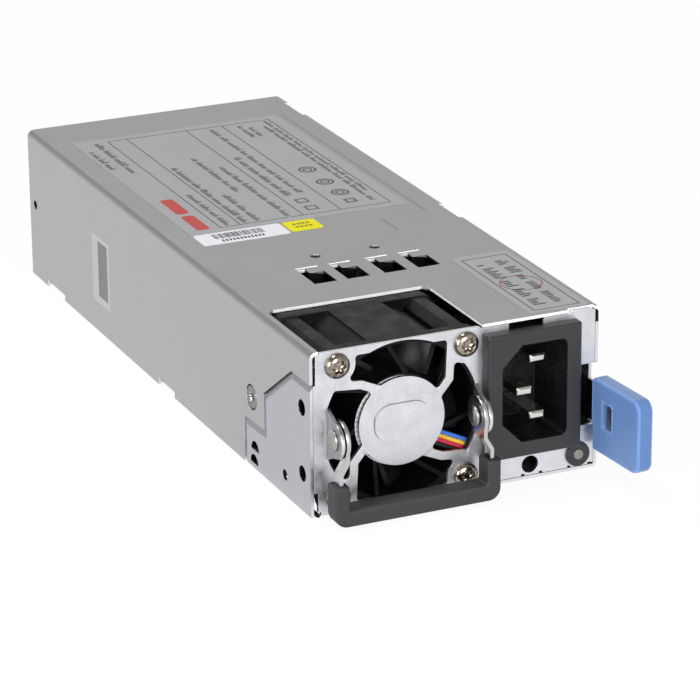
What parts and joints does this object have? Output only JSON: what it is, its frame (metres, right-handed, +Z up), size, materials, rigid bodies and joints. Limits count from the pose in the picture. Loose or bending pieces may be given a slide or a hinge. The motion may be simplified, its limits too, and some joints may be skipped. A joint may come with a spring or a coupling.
{
  "type": "hot swap server power supply",
  "caption": "Slim plug-in power supply in a bent sheet-metal case: fan behind a pinwheel guard, turned mains inlet, swing handle, leaf latch and rear card edge.",
  "frame": {"origin": "centre of the case's underside", "axes": "-Y is the front with the fan, inlet and handle, +Y the rear with the card edge, +Z up through the roof, +X the side with the latch"},
  "size_m": [0.0756, 0.2151, 0.04],
  "materials": {
    "zinc_sheet": "rolled, electrogalvanised",
    "panel_steel": "stamped, electrogalvanised",
    "nickel": "nickel plated, satin",
    "spring_steel": "rolled",
    "black_pbt": "moulded, fine grain",
    "grey_nylon": "moulded, fine grain",
    "blue_nylon": "moulded, satin",
    "lens": "diffused",
    "lead_insulation": "extruded",
    "circuit_board": "solder mask",
    "gold": "plated",
    "brass_pin": "nickel plated",
    "ferrite": "sintered",
    "copper_winding": "enamelled wire",
    "yellow_tape": "polyester tape",
    "aluminium": "extruded",
    "sleeve": "shrink sleeve",
    "clear_film": "calendered film",
    "white_nylon": "moulded",
    "glass_tube": "drawn"
  },
  "bodies": {
    "case": {"top_cover": "zinc_sheet", "base_chassis": "zinc_sheet", "front_panel": "panel_steel", "rear_panel": "zinc_sheet", "fan_frame": "black_pbt", "fan_bearing": "brass_pin", "fan_stator": "ferrite", "fan_screws": "nickel", "fan_leads": "lead_insulation", "fan_connector": "white_nylon", "inlet_housing": "grey_nylon", "inlet_pins": "brass_pin", "inlet_board": "circuit_board", "led_holder": "black_pbt", "led_lens": "lens", "handle_rivets": "nickel", "latch_anchor": "spring_steel", "cover_screw": "nickel", "main_board": "circuit_board", "gold_fingers": "gold", "insulating_sheet": "clear_film", "board_supports": "white_nylon", "fuse": "glass_tube", "emi_choke": "ferrite", "x_capacitor": "yellow_tape", "pfc_choke": "copper_winding", "bulk_capacitor": "sleeve", "heat_sink_primary": "aluminium", "transformer_core": "ferrite", "transformer_winding": "yellow_tape", "heat_sink_secondary": "aluminium", "output_capacitors": "sleeve", "control_board": "circuit_board"},
    "fan": {"fan_rotor": "black_pbt", "fan_shaft": "spring_steel"},
    "handle": {"handle_bail": "nickel", "handle_grip": "grey_nylon"},
    "latch": {"latch_arm": "spring_steel", "latch_tab": "blue_nylon"}
  },
  "joints": [
    {"name": "fan_spin", "type": "hinge", "parent": "case", "child": "fan", "pos_m": [-0.014, -0.0775, 0.02], "axis": [0, 1, 0], "continuous": true},
    {"name": "handle_swing", "type": "hinge", "parent": "case", "child": "handle", "pos_m": [-0.014, -0.0967, 0.02], "axis": [-1, 0, 0], "range_deg": [0, 90]},
    {"name": "latch_press", "type": "hinge", "parent": "case", "child": "latch", "pos_m": [0.03445, -0.0445, 0.017], "axis": [0, 0, -1], "range_deg": [0, 2.5], "stiffness_Nm_per_rad": 12.8}
  ]
}
